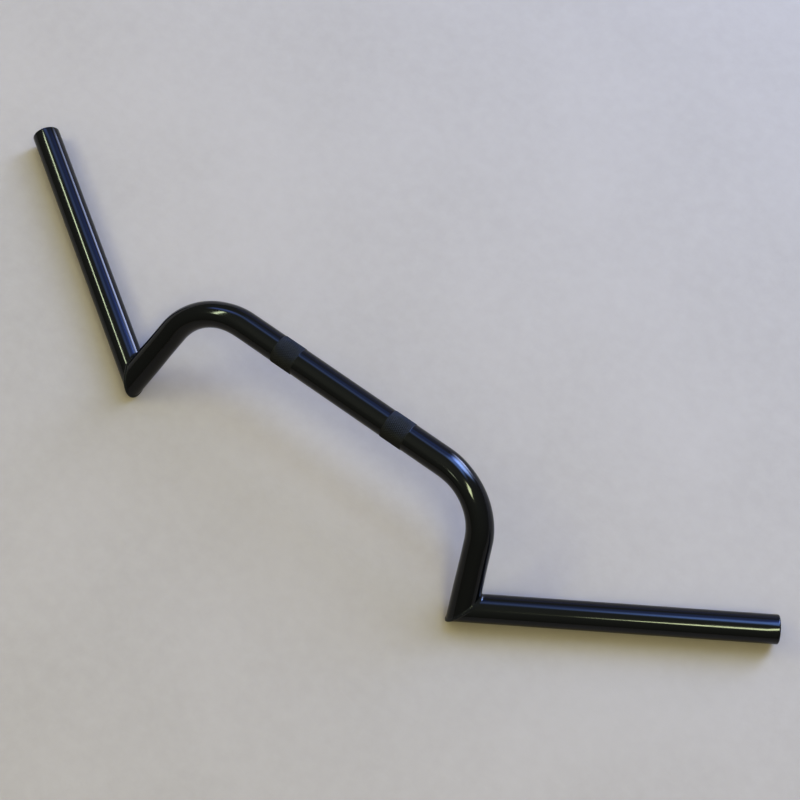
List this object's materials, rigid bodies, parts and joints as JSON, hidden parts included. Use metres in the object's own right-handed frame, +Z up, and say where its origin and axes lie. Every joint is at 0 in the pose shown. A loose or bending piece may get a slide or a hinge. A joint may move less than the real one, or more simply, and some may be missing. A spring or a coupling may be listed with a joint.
{
  "type": "motorcycle handlebar",
  "caption": "Z-bar motorcycle handlebar: bent centre tube with knurled clamp bands, its risers mitred and welded to straight swept-back grip tubes with open ends.",
  "frame": {"origin": "the middle of the clamp section, on its axis: the point midway between the knurled bands", "axes": "the bar lies upside down as on a floor, grips level and lowest: +X along the clamp axis to the rider's right, +Y the side the grips sweep back to, +Z up. As ridden it is turned half a turn about X, and then clamped at any angle about X"},
  "size_m": [0.7246, 0.1485, 0.0889],
  "materials": {
    "tube_paint": "gloss black paint on steel tube",
    "weld_paint": "gloss black paint over a rippled weld bead"
  },
  "bodies": {
    "root": {"centre_tube": "tube_paint", "left_grip_tube": "tube_paint", "right_grip_tube": "tube_paint", "left_mitre_weld": "weld_paint", "right_mitre_weld": "weld_paint"}
  },
  "joints": []
}
